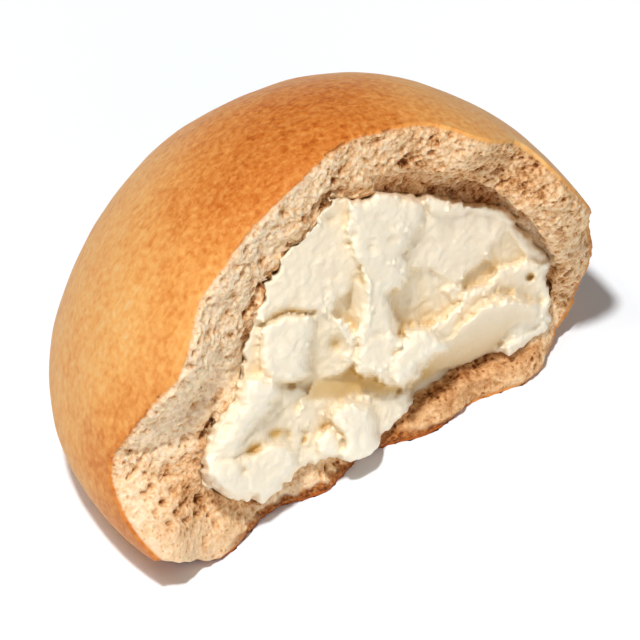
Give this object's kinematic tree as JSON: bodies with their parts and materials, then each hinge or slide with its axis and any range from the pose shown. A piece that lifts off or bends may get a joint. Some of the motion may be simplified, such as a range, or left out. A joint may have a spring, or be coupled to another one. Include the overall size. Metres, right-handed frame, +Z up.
{
  "type": "stuffed bagel half",
  "caption": "Torn half of a round stuffed bagel: a domed baked crust over pale crumb, filled with a thick, broken core of cream cheese.",
  "frame": {"origin": "middle of the bounding box's underside, on the surface the half stands on", "axes": "+Z up through the crown, -Y out of the torn face, +X along the torn face to the right as seen from its front"},
  "size_m": [0.06, 0.0368, 0.0423],
  "materials": {
    "bread": "satin baked crust, matt torn crumb",
    "cream_cheese": "soft satin"
  },
  "bodies": {
    "root": {"bread": "bread", "cream_cheese": "cream_cheese"}
  },
  "joints": []
}
